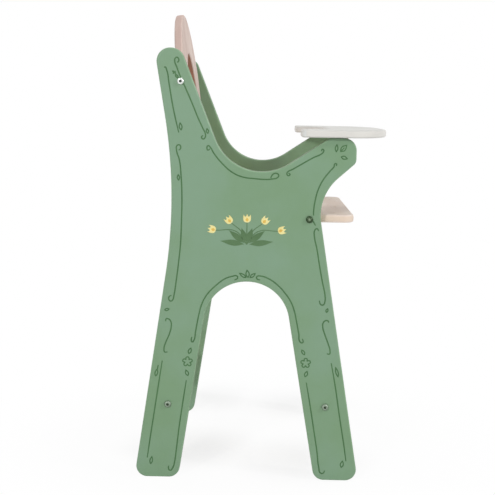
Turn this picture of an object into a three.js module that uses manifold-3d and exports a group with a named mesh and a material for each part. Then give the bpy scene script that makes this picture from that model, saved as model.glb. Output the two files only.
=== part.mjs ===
// A wooden high chair for a doll: two cut-out side panels, a seat, a leaning backrest, a tray on the arms
// and two crossbars, held together by bolts with barrel nuts and by wooden dowels.
// Millimetres. The doll faces +X, +Z is up, and the origin is on the floor under the middle of the chair.

import * as THREE from 'three';
import { mergeVertices } from 'three/addons/utils/BufferGeometryUtils.js';
import Module from 'manifold-3d';

const wasm = await Module();
wasm.setup();

// Overall sizes
const chairDepth = 268.8; // back of the rear feet to the front of the tray
const chairWidth = 261.7; // over the outer faces of the side panels
const seatHeight = 289; // floor to the top of the seat
const panelThickness = 12;
const boardThickness = 8.5; // seat, backrest and crossbars
const touchGap = 0.3; // left between pieces that touch
const cutOverrun = 1; // how far a cutter runs past the face it opens
const arcSag = 0.15; // how far a facet may stray from its arc
const roundSides = 12; // facets round a bolt, a nut or a dowel

// Side panel: heights and lengths of its cut-out
const legWidth = 47.6; // at the floor
const frontFootSetback = 27.5; // behind the tray's front edge
const footRadius = 12;
const archDrop = 72.1; // top of the arch between the legs, below the top of the seat
const armHeight = 81.5; // the arm's flat top above the seat
const armTopLength = 28.2;
const armSetback = 39; // arm's front end behind the tray's front edge
const armEndHeight = 25.5;
const armFrontRadius = 13;
const armUnderRadius = 8;
const armRearRadius = 8;
const frontWaistRadius = 52;
const backWaistRadius = 540;
const dipRadius = 52.8; // the dip between the backrest and the arm
const panelTopHeight = 172; // above the seat
const panelTopLength = 27.2;
const panelTopRadius = 14;
const panelBehindBackrest = 23.2; // the panel's top corner behind the middle of the backrest
const panelEase = 1.6;

// Leans of the panel's edges, as forward run per rise
const rearLegBackShare = 0.145;
const rearLegInnerShare = 0.148;
const frontLegInnerShare = -0.1733;
const frontLegFrontShare = -0.166;
const armUnderShare = 1.12;
const armSlopeShare = 1.511;
const backrestSideShare = -0.398;
const backEdgeShare = -0.166;

// Seat
const seatFrontSetback = 38.4; // behind the tray's front edge
const seatPastBackrest = 7; // behind the backrest's rear face
const seatFrontRadius = 12;
const seatRearRadius = 4;
const boardEase = 1.5;

// Backrest
const backrestInset = 67.6; // its front face at seat height, ahead of the back of the rear feet
const backrestLeanShare = 0.133; // backward run per rise
const backrestRise = 43.7; // its top above the panels' tops
const backrestShoulder = 13; // straight side left above its bolts
const backrestCornerRadius = 8;
const backrestFootRadius = 4;
const topRailHeight = 44; // above the opening
const stileWidth = 38.5; // beside the circle that the opening's arch follows
const openingHeight = 63;
const openingCornerRadius = 18;

// Tray
const trayOverhang = 8.15; // past the panels' outer faces
const trayDepth = 96.9;
const trayThickness = 8;
const trayFrontFlat = 76; // straight middle of the front edge
const trayFrontCornerLength = 45; // each front corner is a quarter of an ellipse
const trayCornerSteps = 12;
const trayEarLength = 46; // straight rear edge at each side, before the cut-out for the doll
const trayEarRadius = 7;
const trayCutDepth = 33;
const trayCutTaper = 26; // how much nearer the middle the cut-out's deep corners are
const trayCutRadius = 30;
const trayCutMouthRadius = 12;

// Crossbars
const crossbarHeight = 40;
const crossbarCentreHeight = 82;
const crossbarCornerRadius = 3;
const crossbarDowelShare = 0.3; // from the middle, of the crossbar's height

// Bolts
const boltDiameter = 4;
const boltHeadDiameter = 7.4;
const boltHeadHeight = 2.2;
const boltHeadEdge = 0.7;
const boltDomeShare = 0.72; // height of the dome's shoulder
const boltCrown = 4.2; // across the head's flat crown
const socketWidth = 2.8; // across the flats
const socketDepth = 1.5;
const socketSides = 6;
const boltPastNut = 3;
const seatBoltInset = 7.9; // behind the corner that the front leg and the arm would make
const backrestBoltDrop = 34.4; // below the panels' tops

// Barrel nuts
const nutDiameter = 8;
const nutRecess = 0.5; // its slotted end below the board's hidden face
const nutCover = 0.8; // wood left past its hole
const nutInset = 18; // from the panel's inner face
const nutSlotWidth = 1;
const nutSlotDepth = 0.8;

// Dowels
const dowelDiameter = 5;
const dowelChamfer = 0.6;
const dowelInPanel = 8;
const dowelInBoard = 14;
const dowelInArm = 12;
const dowelInTray = 6;
const seatDowelInset = 24; // ahead of the seat's rear edge
const backrestDowelHeight = 26; // along the board from the seat
const trayDowelShares = [0.17, 0.6]; // along the arm's flat top

// Places worked out from those sizes
const rightAngle = Math.PI / 2;
const rearX = -chairDepth / 2;
const frontX = chairDepth / 2;
const outerFaceY = chairWidth / 2;
const innerFaceY = outerFaceY - panelThickness;
const boardHalfWidth = innerFaceY - touchGap;
const armTopZ = seatHeight + armHeight;
const armFrontX = frontX - armSetback;
const armRearX = armFrontX - armTopLength;
const panelTopZ = seatHeight + panelTopHeight;
const seatCentreZ = seatHeight - boardThickness / 2;
const seatFrontX = frontX - seatFrontSetback;
const backrestX = rearX + backrestInset;
const backrestLean = Math.atan(backrestLeanShare);
const leanCos = Math.cos(backrestLean);
const leanSin = Math.sin(backrestLean);
const seatRearX = backrestX - boardThickness / leanCos - seatPastBackrest;

// Heights along the backrest, from the seat
const backrestMiddle = boardThickness / 2;
const backrestFootHeight = (touchGap + boardThickness * leanSin) / leanCos;
const backrestBoltHeight = (panelTopHeight - backrestBoltDrop + backrestMiddle * leanSin) / leanCos;
const backrestTopHeight = (panelTopHeight + backrestRise) / leanCos;

// Fastenings
const fitDiameter = (diameter) => diameter + 2 * touchGap;
const boltReach = nutInset + nutDiameter / 2 + boltPastNut;
const nutLength = boardThickness - nutRecess - touchGap - nutCover;
const nutY = innerFaceY - nutInset;
const nutOffset = boardThickness / 2 - nutRecess - nutLength / 2;
const armMiddleY = outerFaceY - panelThickness / 2;
const sides = { right: -1, left: 1 };

// Materials
const greenPaint = new THREE.MeshStandardMaterial({ color: 0x809f80, roughness: 0.6, metalness: 0 });
const whitePaint = new THREE.MeshStandardMaterial({ color: 0xdedad4, roughness: 0.55, metalness: 0 });
const paleWood = new THREE.MeshStandardMaterial({ color: 0xd5beb2, roughness: 0.65, metalness: 0 });
const dowelWood = new THREE.MeshStandardMaterial({ color: 0xc8a878, roughness: 0.8, metalness: 0 });
const brightSteel = new THREE.MeshStandardMaterial({ color: 0xc8c8c6, roughness: 0.35, metalness: 1 });
const darkSteel = new THREE.MeshStandardMaterial({ color: 0x4a4038, roughness: 0.4, metalness: 1 });

// Outlines

// A straight edge: a point on it and its direction, as run and rise
const leaning = (x, z, lean) => ({ x, z, run: lean, rise: 1 });
const level = (z) => ({ x: 0, z, run: 1, rise: 0 });

// Where two straight edges cross
function crossing(first, second) {
  const turn = first.run * second.rise - first.rise * second.run;
  const along = ((second.x - first.x) * second.rise - (second.z - first.z) * second.run) / turn;
  return { x: first.x + along * first.run, y: first.z + along * first.rise };
}

// Points along an arc, both ends included
function arcPoints(centre, radius, from, to) {
  const widestStep = 2 * Math.acos(1 - Math.min(arcSag / radius, 0.5));
  const steps = Math.max(2, Math.ceil(Math.abs(to - from) / widestStep));
  return Array.from({ length: steps + 1 }, (_, step) => {
    const angle = from + ((to - from) * step) / steps;
    return new THREE.Vector2(centre.x + radius * Math.cos(angle), centre.y + radius * Math.sin(angle));
  });
}

// A closed outline of corners { x, y, radius }. A radius gives way where two arcs would share a straight.
function roundedOutline(corners) {
  const points = corners.map((corner) => new THREE.Vector2(corner.x, corner.y));
  const at = (list, index) => list[(index + list.length) % list.length];
  const rounds = points.map((point, index) => {
    const back = at(points, index - 1).clone().sub(point).normalize();
    const ahead = at(points, index + 1).clone().sub(point).normalize();
    const halfAngle = Math.acos(back.dot(ahead)) / 2;
    return { point, back, ahead, halfAngle, reach: corners[index].radius / Math.tan(halfAngle) };
  });
  const room = rounds.map((round, index) => {
    const next = at(rounds, index + 1);
    return Math.min(1, round.point.distanceTo(next.point) / (round.reach + next.reach));
  });
  return rounds.flatMap((round, index) => {
    const radius = corners[index].radius * Math.min(room[index], at(room, index - 1));
    if (radius === 0) return [round.point];
    const middle = round.back.clone().add(round.ahead).normalize();
    const centre = middle.multiplyScalar(radius / Math.sin(round.halfAngle)).add(round.point);
    const turn = Math.sign(round.ahead.cross(round.back));
    const from = Math.atan2(round.back.x, -round.back.y) + (turn < 0 ? Math.PI : 0);
    return arcPoints(centre, radius, from, from + turn * (Math.PI - 2 * round.halfAngle));
  });
}

// The upper part of an arch centred on x = 0: a corner arc, the arch and the other corner arc,
// anticlockwise from the right. The corner's centre is at cornerY and its arc starts at cornerStart.
function archPoints(archY, archRadius, cornerY, cornerRadius, cornerStart) {
  const corner = { x: Math.sqrt((archRadius - cornerRadius) ** 2 - (cornerY - archY) ** 2), y: cornerY };
  const meets = Math.atan2(cornerY - archY, corner.x);
  const right = arcPoints(corner, cornerRadius, cornerStart, meets);
  const top = arcPoints({ x: 0, y: archY }, archRadius, meets, Math.PI - meets);
  const left = right.map((point) => new THREE.Vector2(-point.x, point.y)).reverse();
  return [...right, ...top.slice(1, -1), ...left];
}

// Solids

// A board of the given outline with its long edges eased, from z = 0 up to its thickness
function board(outline, thickness, ease, openings = []) {
  const shape = new THREE.Shape(outline);
  shape.holes = openings.map((opening) => new THREE.Path(opening));
  const geometry = new THREE.ExtrudeGeometry(shape, {
    depth: thickness - 2 * ease,
    bevelThickness: ease,
    bevelSize: ease,
    bevelOffset: -ease,
    bevelSegments: 1,
  });
  return geometry.translate(0, 0, ease);
}

// A closed mesh as a solid that can be cut
function solidOf(geometry) {
  const bare = geometry.clone();
  bare.deleteAttribute('normal');
  bare.deleteAttribute('uv');
  const merged = mergeVertices(bare);
  return new wasm.Manifold(
    new wasm.Mesh({
      numProp: 3,
      vertProperties: new Float32Array(merged.attributes.position.array),
      triVerts: new Uint32Array(merged.index.array),
    }),
  );
}

// A mesh from a geometry with holes cut in it by other geometries
function piece(name, geometry, material, cutters = []) {
  let solid = solidOf(geometry);
  for (const cutter of cutters) solid = solid.subtract(solidOf(cutter));
  const cut = solid.getMesh();
  const surface = new THREE.BufferGeometry();
  surface.setAttribute('position', new THREE.BufferAttribute(new Float32Array(cut.vertProperties), 3));
  surface.setIndex(new THREE.BufferAttribute(new Uint32Array(cut.triVerts), 1));
  const faceted = surface.toNonIndexed();
  faceted.computeVertexNormals();
  const mesh = new THREE.Mesh(faceted, material);
  mesh.name = name;
  return mesh;
}

// A round rod or cutter along its own Y
function rod(diameter, length) {
  return new THREE.CylinderGeometry(diameter / 2, diameter / 2, length, roundSides);
}

// A round cutter along Y at (x, z), from one end to the other
function cutterAcross(diameter, { x, z }, fromY, toY) {
  return rod(diameter, Math.abs(toY - fromY)).translate(x, (fromY + toY) / 2, z);
}

// Places of the fastenings

const rearFootX = rearX - footRadius * (rearLegBackShare + Math.hypot(1, rearLegBackShare) - 1);
const frontFootX = frontX - frontFootSetback;
const frontLegFront = leaning(frontFootX, 0, frontLegFrontShare);
const armUnder = leaning(armFrontX, armTopZ - armEndHeight, armUnderShare);

// A point on the backrest, by its distance behind the front face and its height along the board
function onBackrest(behind, height) {
  const x = backrestX - behind * leanCos - height * leanSin;
  const z = seatHeight - behind * leanSin + height * leanCos;
  return { x, z };
}

// The middle of a leg at the crossbars' height, from its middle at the floor and its edges' leans
function legMiddleX(floorX, firstShare, secondShare) {
  return floorX + ((firstShare + secondShare) / 2) * crossbarCentreHeight;
}

const rearCrossbarX = legMiddleX(rearFootX + legWidth / 2, rearLegBackShare, rearLegInnerShare);
const frontCrossbarX = legMiddleX(frontFootX - legWidth / 2, frontLegFrontShare, frontLegInnerShare);

// Each bolt runs along Y through a panel into the end of a board
const boltPlaces = {
  backrest: { ...onBackrest(backrestMiddle, backrestBoltHeight), material: brightSteel },
  seat: { x: crossing(frontLegFront, armUnder).x - seatBoltInset, z: seatCentreZ, material: darkSteel },
  rear_crossbar: { x: rearCrossbarX, z: crossbarCentreHeight, material: brightSteel },
  front_crossbar: { x: frontCrossbarX, z: crossbarCentreHeight, material: brightSteel },
};

// Each of these dowels runs along Y from a panel into the end of a board
const crossbarUpperZ = crossbarCentreHeight + crossbarHeight * crossbarDowelShare;
const crossbarLowerZ = crossbarCentreHeight - crossbarHeight * crossbarDowelShare;
const dowelPlaces = {
  backrest: onBackrest(backrestMiddle, backrestDowelHeight),
  seat: { x: seatRearX + seatDowelInset, z: seatCentreZ },
  rear_crossbar_upper: { x: rearCrossbarX, z: crossbarUpperZ },
  rear_crossbar_lower: { x: rearCrossbarX, z: crossbarLowerZ },
  front_crossbar_upper: { x: frontCrossbarX, z: crossbarUpperZ },
  front_crossbar_lower: { x: frontCrossbarX, z: crossbarLowerZ },
};

// These dowels stand in the arms and hold the tray
const [rearTrayShare, frontTrayShare] = trayDowelShares;
const trayDowelPlaces = {
  rear_tray: armRearX + armTopLength * rearTrayShare,
  front_tray: armRearX + armTopLength * frontTrayShare,
};

// Side panels

// Forward place of the middle of the backrest's thickness at a height above the floor
function backrestMiddleX(z) {
  return backrestX - backrestMiddle / leanCos - (z - seatHeight) * backrestLeanShare;
}

// The arch that touches both legs' inner edges, which would meet at peakZ, and tops out at its height
function legArchRadius(peakZ) {
  const rearAngle = Math.atan(rearLegInnerShare);
  const frontAngle = Math.atan(-frontLegInnerShare);
  const dropPerRadius = Math.cos((frontAngle - rearAngle) / 2) / Math.sin((frontAngle + rearAngle) / 2);
  return (peakZ - (seatHeight - archDrop)) / (dropPerRadius - 1);
}

function panelOutline() {
  const topRearX = backrestMiddleX(panelTopZ) - panelBehindBackrest;
  const rearLegBack = leaning(rearFootX, 0, rearLegBackShare);
  const rearLegInner = leaning(rearFootX + legWidth, 0, rearLegInnerShare);
  const frontLegInner = leaning(frontFootX - legWidth, 0, frontLegInnerShare);
  const armFront = leaning(armFrontX, armTopZ, 0);
  const armSlope = leaning(armRearX, armTopZ, armSlopeShare);
  const backrestSide = leaning(topRearX + panelTopLength, panelTopZ, backrestSideShare);
  const backEdge = leaning(topRearX, panelTopZ, backEdgeShare);
  const corner = (first, second, radius) => ({ ...crossing(first, second), radius });
  return roundedOutline([
    corner(rearLegBack, level(0), footRadius),
    corner(level(0), rearLegInner, footRadius),
    corner(rearLegInner, frontLegInner, legArchRadius(crossing(rearLegInner, frontLegInner).y)),
    corner(frontLegInner, level(0), footRadius),
    corner(level(0), frontLegFront, footRadius),
    corner(frontLegFront, armUnder, frontWaistRadius),
    corner(armUnder, armFront, armUnderRadius),
    corner(armFront, level(armTopZ), armFrontRadius),
    corner(level(armTopZ), armSlope, armRearRadius),
    corner(armSlope, backrestSide, dipRadius),
    corner(backrestSide, level(panelTopZ), panelTopRadius),
    corner(level(panelTopZ), backEdge, panelTopRadius),
    corner(backEdge, rearLegBack, backWaistRadius),
  ]);
}

// Holes for the tray's dowels over one arm, from one height up to another
function trayDowelHoles(side, lowZ, highZ) {
  return Object.values(trayDowelPlaces).map((x) => {
    const hole = rod(fitDiameter(dowelDiameter), highZ - lowZ).rotateX(rightAngle);
    return hole.translate(x, side * armMiddleY, (lowZ + highZ) / 2);
  });
}

// The holes that a panel shares with the pieces beside it
function panelCutters(side) {
  const pastOuterY = side * (outerFaceY + cutOverrun);
  const pastInnerY = side * (innerFaceY - cutOverrun);
  const blindY = side * (innerFaceY + dowelInPanel + touchGap);
  const bolts = Object.values(boltPlaces);
  const dowels = Object.values(dowelPlaces);
  return [
    ...bolts.map((place) => cutterAcross(fitDiameter(boltDiameter), place, pastOuterY, pastInnerY)),
    ...dowels.map((place) => cutterAcross(fitDiameter(dowelDiameter), place, pastInnerY, blindY)),
    ...trayDowelHoles(side, armTopZ - dowelInArm - touchGap, armTopZ + cutOverrun),
  ];
}

function sidePanel(name, side) {
  const upright = board(panelOutline(), panelThickness, panelEase).rotateX(rightAngle);
  upright.translate(0, side > 0 ? outerFaceY : -innerFaceY, 0);
  return piece(name, upright, greenPaint, panelCutters(side));
}

// Boards between the panels

// Holes in both ends of a board for its bolt and its dowels
function endCutters(boltPlace, ownDowelPlaces) {
  const endY = boardHalfWidth + cutOverrun;
  const boltY = innerFaceY - boltReach - touchGap;
  const dowelY = innerFaceY - dowelInBoard - touchGap;
  const dowelHole = fitDiameter(dowelDiameter);
  return Object.values(sides).flatMap((side) => [
    cutterAcross(fitDiameter(boltDiameter), boltPlace, side * endY, side * boltY),
    ...ownDowelPlaces.map((place) => cutterAcross(dowelHole, place, side * endY, side * dowelY)),
  ]);
}

// The turns that bring a barrel nut's slotted end, at its own +Y, to its board's hidden face
const nutFromBelow = new THREE.Euler(-rightAngle, 0, 0);
const nutFromBehind = new THREE.Euler(-rightAngle, rightAngle, 0, 'YXZ');
const nutFromAhead = new THREE.Euler(-rightAngle, -rightAngle, 0, 'YXZ');

// Blind holes at both ends of a board for the nuts on its bolts
function nutHoles({ x, z }, turn) {
  const turned = new THREE.Matrix4().makeRotationFromEuler(turn);
  const length = nutRecess + nutLength + touchGap + cutOverrun;
  return Object.values(sides).map((side) => {
    const hole = rod(fitDiameter(nutDiameter), length);
    hole.translate(0, boardThickness / 2 + cutOverrun - length / 2, 0);
    return hole.applyMatrix4(turned).translate(x, side * nutY, z);
  });
}

function seatBoard() {
  const corners = [
    { x: seatRearX, y: -boardHalfWidth, radius: seatRearRadius },
    { x: seatFrontX, y: -boardHalfWidth, radius: seatFrontRadius },
    { x: seatFrontX, y: boardHalfWidth, radius: seatFrontRadius },
    { x: seatRearX, y: boardHalfWidth, radius: seatRearRadius },
  ];
  const flat = board(roundedOutline(corners), boardThickness, boardEase);
  flat.translate(0, 0, seatHeight - boardThickness);
  return piece('seat', flat, paleWood, [
    ...endCutters(boltPlaces.seat, [dowelPlaces.seat]),
    ...nutHoles(boltPlaces.seat, nutFromBelow),
  ]);
}

// A half-moon under the top rail, with round lower corners
function backrestOpening() {
  const radius = boardHalfWidth - stileWidth;
  const topY = backrestTopHeight - topRailHeight;
  const cornerY = topY - openingHeight + openingCornerRadius;
  return archPoints(topY - radius, radius, cornerY, openingCornerRadius, -rightAngle);
}

// In the backrest's own frame its front face is at x = 0 and z runs up the board from seat height
function backrestBoard() {
  const rise = backrestTopHeight - backrestBoltHeight - backrestShoulder;
  const radius = (boardHalfWidth ** 2 + rise ** 2) / (2 * rise);
  const archY = backrestTopHeight - radius;
  const cornerX = boardHalfWidth - backrestCornerRadius;
  const cornerY = archY + Math.sqrt((radius - backrestCornerRadius) ** 2 - cornerX ** 2);
  const footX = boardHalfWidth - backrestFootRadius;
  const footY = backrestFootHeight + backrestFootRadius;
  const outline = [
    ...archPoints(archY, radius, cornerY, backrestCornerRadius, 0),
    ...arcPoints({ x: -footX, y: footY }, backrestFootRadius, 2 * rightAngle, 3 * rightAngle),
    ...arcPoints({ x: footX, y: footY }, backrestFootRadius, 3 * rightAngle, 4 * rightAngle),
  ];
  const upright = board(outline, boardThickness, boardEase, [backrestOpening()]);
  upright.rotateX(rightAngle).rotateZ(rightAngle).translate(-boardThickness, 0, 0);
  const boltPlace = { x: -backrestMiddle, z: backrestBoltHeight };
  const dowelPlace = { x: -backrestMiddle, z: backrestDowelHeight };
  return piece('backrest', upright, paleWood, [
    ...endCutters(boltPlace, [dowelPlace]),
    ...nutHoles(boltPlace, nutFromBehind),
  ]);
}

function crossbar(name, { x, z }, nutTurn) {
  const halfHeight = crossbarHeight / 2;
  const corners = [
    { x: -boardHalfWidth, y: -halfHeight, radius: crossbarCornerRadius },
    { x: boardHalfWidth, y: -halfHeight, radius: crossbarCornerRadius },
    { x: boardHalfWidth, y: halfHeight, radius: crossbarCornerRadius },
    { x: -boardHalfWidth, y: halfHeight, radius: crossbarCornerRadius },
  ];
  const upright = board(roundedOutline(corners), boardThickness, boardEase);
  upright.rotateX(rightAngle).rotateZ(rightAngle).translate(x - boardThickness / 2, 0, z);
  return piece(name, upright, paleWood, [
    ...endCutters({ x, z }, [dowelPlaces[`${name}_upper`], dowelPlaces[`${name}_lower`]]),
    ...nutHoles({ x, z }, nutTurn),
  ]);
}

// Tray

// The tray's left front corner, from the front edge round to the side
function trayFrontCorner(halfWidth) {
  const centreX = frontX - trayFrontCornerLength;
  const centreY = trayFrontFlat / 2;
  return Array.from({ length: trayCornerSteps + 1 }, (_, step) => {
    const angle = (rightAngle * step) / trayCornerSteps;
    const x = centreX + trayFrontCornerLength * Math.cos(angle);
    return { x, y: centreY + (halfWidth - centreY) * Math.sin(angle), radius: 0 };
  });
}

function trayOutline() {
  const halfWidth = outerFaceY + trayOverhang;
  const rearEdgeX = frontX - trayDepth;
  const mouthY = halfWidth - trayEarLength;
  const leftHalf = [
    ...trayFrontCorner(halfWidth),
    { x: rearEdgeX, y: halfWidth, radius: trayEarRadius },
    { x: rearEdgeX, y: mouthY, radius: trayCutMouthRadius },
    { x: rearEdgeX + trayCutDepth, y: mouthY - trayCutTaper, radius: trayCutRadius },
  ];
  const rightHalf = leftHalf.map((corner) => ({ ...corner, y: -corner.y })).reverse();
  return roundedOutline([...leftHalf, ...rightHalf]);
}

function tray() {
  const undersideZ = armTopZ + touchGap;
  const holeTopZ = armTopZ + dowelInTray + touchGap;
  const flat = board(trayOutline(), trayThickness, boardEase).translate(0, 0, undersideZ);
  const holes = Object.values(sides).flatMap((side) => trayDowelHoles(side, armTopZ - cutOverrun, holeTopZ));
  return piece('tray', flat, whitePaint, holes);
}

// Bolts, barrel nuts and dowels

// A bolt along its own Y, its domed head at +Y with the underside at y = 0, and a hex socket
function bolt(name, material) {
  const headRadius = boltHeadDiameter / 2;
  const crownRadius = boltCrown / 2;
  const shankRadius = boltDiameter / 2;
  const tipY = -(touchGap + panelThickness + boltReach);
  const profile = [
    [0, tipY],
    [shankRadius - boltHeadEdge, tipY],
    [shankRadius, tipY + boltHeadEdge],
    [shankRadius, 0],
    [headRadius, 0],
    [headRadius, boltHeadEdge],
    [(headRadius + crownRadius) / 2, boltHeadEdge + (boltHeadHeight - boltHeadEdge) * boltDomeShare],
    [crownRadius, boltHeadHeight],
    [0, boltHeadHeight],
  ].map(([radius, y]) => new THREE.Vector2(radius, y));
  const socketRadius = socketWidth / 2 / Math.cos(Math.PI / socketSides);
  const socketLength = socketDepth + cutOverrun;
  const socket = new THREE.CylinderGeometry(socketRadius, socketRadius, socketLength, socketSides);
  socket.translate(0, boltHeadHeight - socketDepth + socketLength / 2, 0);
  return piece(name, new THREE.LatheGeometry(profile, roundSides), material, [socket]);
}

// A barrel nut along its own Y, its slotted end at +Y. The bolt passes through it along Z, as the slot runs.
function barrelNut(name) {
  const thread = rod(fitDiameter(boltDiameter), nutDiameter + 2 * cutOverrun);
  thread.rotateX(rightAngle).translate(0, -nutOffset, 0);
  const slot = new THREE.BoxGeometry(nutSlotWidth, 2 * nutSlotDepth, nutDiameter + 2 * cutOverrun);
  slot.translate(0, nutLength / 2, 0);
  return piece(name, rod(nutDiameter, nutLength), brightSteel, [thread, slot]);
}

// A dowel with chamfered ends along its own Y
function dowel(name, fromY, toY) {
  const radius = dowelDiameter / 2;
  const profile = [
    [0, fromY],
    [radius - dowelChamfer, fromY],
    [radius, fromY + dowelChamfer],
    [radius, toY - dowelChamfer],
    [radius - dowelChamfer, toY],
    [0, toY],
  ].map(([x, y]) => new THREE.Vector2(x, y));
  return piece(name, new THREE.LatheGeometry(profile, roundSides), dowelWood);
}

// The nuts at both ends of a board, on its bolts
function addNuts(parent, name, { x, z }, turn) {
  const towardsFace = new THREE.Vector3(0, nutOffset, 0).applyEuler(turn);
  for (const [sideName, side] of Object.entries(sides)) {
    const nut = barrelNut(`${name}_nut_${sideName}`);
    nut.rotation.copy(turn);
    nut.position.set(x, side * nutY, z).add(towardsFace);
    parent.add(nut);
  }
}

// The chair
const chair = new THREE.Group();
chair.add(sidePanel('right_side_panel', sides.right));
chair.add(sidePanel('left_side_panel', sides.left));
chair.add(seatBoard());
chair.add(crossbar('rear_crossbar', boltPlaces.rear_crossbar, nutFromAhead));
chair.add(crossbar('front_crossbar', boltPlaces.front_crossbar, nutFromBehind));
chair.add(tray());

const leaningBack = new THREE.Group();
leaningBack.position.set(backrestX, 0, seatHeight);
leaningBack.rotation.y = -backrestLean;
leaningBack.add(backrestBoard());
chair.add(leaningBack);

addNuts(leaningBack, 'backrest', { x: -backrestMiddle, z: backrestBoltHeight }, nutFromBehind);
addNuts(chair, 'seat', boltPlaces.seat, nutFromBelow);
addNuts(chair, 'rear_crossbar', boltPlaces.rear_crossbar, nutFromAhead);
addNuts(chair, 'front_crossbar', boltPlaces.front_crossbar, nutFromBehind);

for (const [sideName, side] of Object.entries(sides)) {
  const turnX = side < 0 ? Math.PI : 0;
  for (const [name, place] of Object.entries(boltPlaces)) {
    const fitted = bolt(`${name}_bolt_${sideName}`, place.material);
    fitted.rotation.x = turnX;
    fitted.position.set(place.x, side * (outerFaceY + touchGap), place.z);
    chair.add(fitted);
  }
  for (const [name, place] of Object.entries(dowelPlaces)) {
    const fitted = dowel(`${name}_dowel_${sideName}`, -dowelInBoard, dowelInPanel);
    fitted.rotation.x = turnX;
    fitted.position.set(place.x, side * innerFaceY, place.z);
    chair.add(fitted);
  }
  for (const [name, x] of Object.entries(trayDowelPlaces)) {
    const fitted = dowel(`${name}_dowel_${sideName}`, -dowelInArm, dowelInTray);
    fitted.rotation.x = rightAngle;
    fitted.position.set(x, side * armMiddleY, armTopZ);
    chair.add(fitted);
  }
}

export default chair;
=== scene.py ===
# Doll high chair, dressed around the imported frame: boards with soft edges, paint and stained wood,
# the printed border, bolts and nuts, and the white studio.
import math

import bpy
from mathutils import Matrix, Vector


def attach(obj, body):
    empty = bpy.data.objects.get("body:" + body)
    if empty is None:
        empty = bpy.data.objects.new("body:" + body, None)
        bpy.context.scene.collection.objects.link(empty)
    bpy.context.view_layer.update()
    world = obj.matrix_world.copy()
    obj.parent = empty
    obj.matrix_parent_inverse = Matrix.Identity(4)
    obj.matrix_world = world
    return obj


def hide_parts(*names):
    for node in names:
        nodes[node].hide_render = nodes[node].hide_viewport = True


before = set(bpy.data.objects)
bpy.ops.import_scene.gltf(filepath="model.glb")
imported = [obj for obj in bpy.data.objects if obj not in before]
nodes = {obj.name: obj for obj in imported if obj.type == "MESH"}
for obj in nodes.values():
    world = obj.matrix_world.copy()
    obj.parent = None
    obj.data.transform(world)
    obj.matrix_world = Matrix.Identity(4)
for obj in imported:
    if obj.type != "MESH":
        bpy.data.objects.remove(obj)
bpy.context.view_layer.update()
mm = 0.001  # every length below is in millimetres
quarterTurn = math.radians(90)
print("frame:", len(nodes), "nodes")

# Camera and studio

photoCamera = {
    "lens": 77.09,
    "sensor": 36.0,
    "place": (-2.05, -1242.19, 400.45),
    "turn": 0.0135113,
    "tilt": 0.1311210,
    "roll": 0.0165922,
}


def addCamera():
    place = Vector(photoCamera["place"]) * mm
    bpy.ops.object.camera_add(location=place)
    camera = bpy.context.object
    camera.name = "photoCamera"
    camera.data.lens = photoCamera["lens"]
    camera.data.sensor_width = photoCamera["sensor"]
    turned = Matrix.Rotation(photoCamera["turn"], 4, "Z")
    tilted = Matrix.Rotation(quarterTurn - photoCamera["tilt"], 4, "X")
    rolled = Matrix.Rotation(photoCamera["roll"], 4, "Z")
    camera.matrix_world = Matrix.Translation(place) @ turned @ tilted @ rolled
    bpy.context.scene.camera = camera
    bpy.context.scene.view_settings.view_transform = "Standard"


# A node's inputs take another node's output or a plain value
def fillInputs(tree, node, inputs):
    for socket, value in inputs.items():
        if isinstance(value, bpy.types.NodeSocket):
            tree.links.new(value, node.inputs[socket])
        else:
            node.inputs[socket].default_value = value


def addNode(tree, kind, inputs=None, **settings):
    node = tree.nodes.new(kind)
    for name, value in settings.items():
        setattr(node, name, value)
    fillInputs(tree, node, inputs or {})
    return node


def mathNode(tree, operation, first, second=0.0, clamp=False):
    node = addNode(tree, "ShaderNodeMath", {0: first, 1: second}, operation=operation, use_clamp=clamp)
    return node.outputs[0]


# A smooth step of a value between two edges
def stepNode(tree, value, low, high, toLow=0.0, toHigh=1.0):
    places = {"Value": value, "From Min": low, "From Max": high, "To Min": toLow, "To Max": toHigh}
    return addNode(tree, "ShaderNodeMapRange", places, interpolation_type="SMOOTHSTEP").outputs["Result"]


# Colours are written as the 0-255 numbers of a colour picker
def linearColour(red, green, blue):
    shares = [value / 255 for value in (red, green, blue)]
    return [share / 12.92 if share <= 0.04045 else ((share + 0.055) / 1.055) ** 2.4
            for share in shares] + [1.0]


# Camera, glossy and transmitted rays see the white background
def seesBackground(tree):
    path = addNode(tree, "ShaderNodeLightPath")
    either = mathNode(tree, "MAXIMUM", path.outputs["Is Camera Ray"], path.outputs["Is Glossy Ray"])
    return mathNode(tree, "MAXIMUM", either, path.outputs["Is Transmission Ray"])


studio = {
    "ambientColour": (250, 252, 255),
    "ambientStrength": 0.34,
    "floorSize": 12000,
    "floorColour": (250, 250, 250),
    "floorGlow": 0.955,  # share of plain white in the floor round the chair
    "spotGlow": 0.76,  # and round the spots behind the feet: painted shade, the floor glowing less so it reads greyer and the legs' shadows show most
    "paintedShadeSpots": [(-84, -26), (-76, 205), (46, -60), (46, 180)],
    "spotRadius": 105,
    "glowStart": 130,  # from the chair's middle, where the floor starts to fade into the background
    "glowEnd": 380,
    "lamps": {
        "leftSoftbox": {"place": (-950, -2050, 1300), "size": 260, "power": 17.5},
        "frontSoftbox": {"place": (1750, -800, 1300), "size": 220, "power": 14},
        "topSoftbox": {"place": (350, 150, 1900), "size": 700, "power": 7.5},
        "rearSoftbox": {"place": (-1500, 1500, 900), "size": 700, "power": 4},
    },
    "lampAim": (0, 0, 240),
}
pureWhite = (1, 1, 1, 1)


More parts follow.
